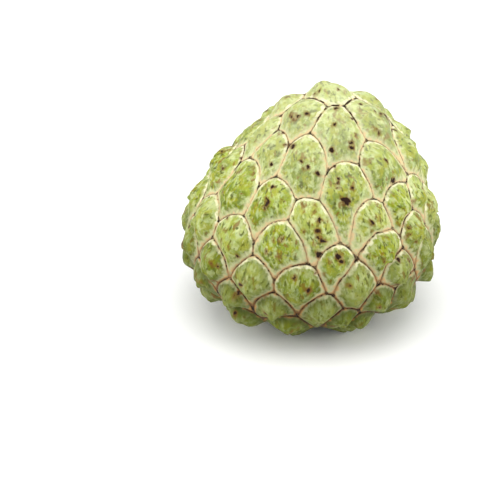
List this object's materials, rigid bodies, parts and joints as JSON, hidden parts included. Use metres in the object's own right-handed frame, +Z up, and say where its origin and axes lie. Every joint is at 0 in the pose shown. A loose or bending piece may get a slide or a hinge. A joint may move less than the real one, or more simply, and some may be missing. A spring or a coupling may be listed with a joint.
{
  "type": "custard apple",
  "caption": "Whole custard apple with a knobbly quilted green rind, standing on its stalk end with a stub of stalk in the dish below.",
  "frame": {"origin": "on the surface the fruit stands on, under the middle of its outline", "axes": "+Z up from the stalk end to the apex; -Y is the front; the apex leans towards +X"},
  "size_m": [0.0924, 0.092, 0.0845],
  "materials": {
    "rind": "waxy yellow-green rind with pale bloom, cream seams and small brown spots",
    "stalk": "dry brown bark with a pale cut end"
  },
  "bodies": {
    "root": {"fruit": "rind", "stem_stub": "stalk"}
  },
  "joints": []
}
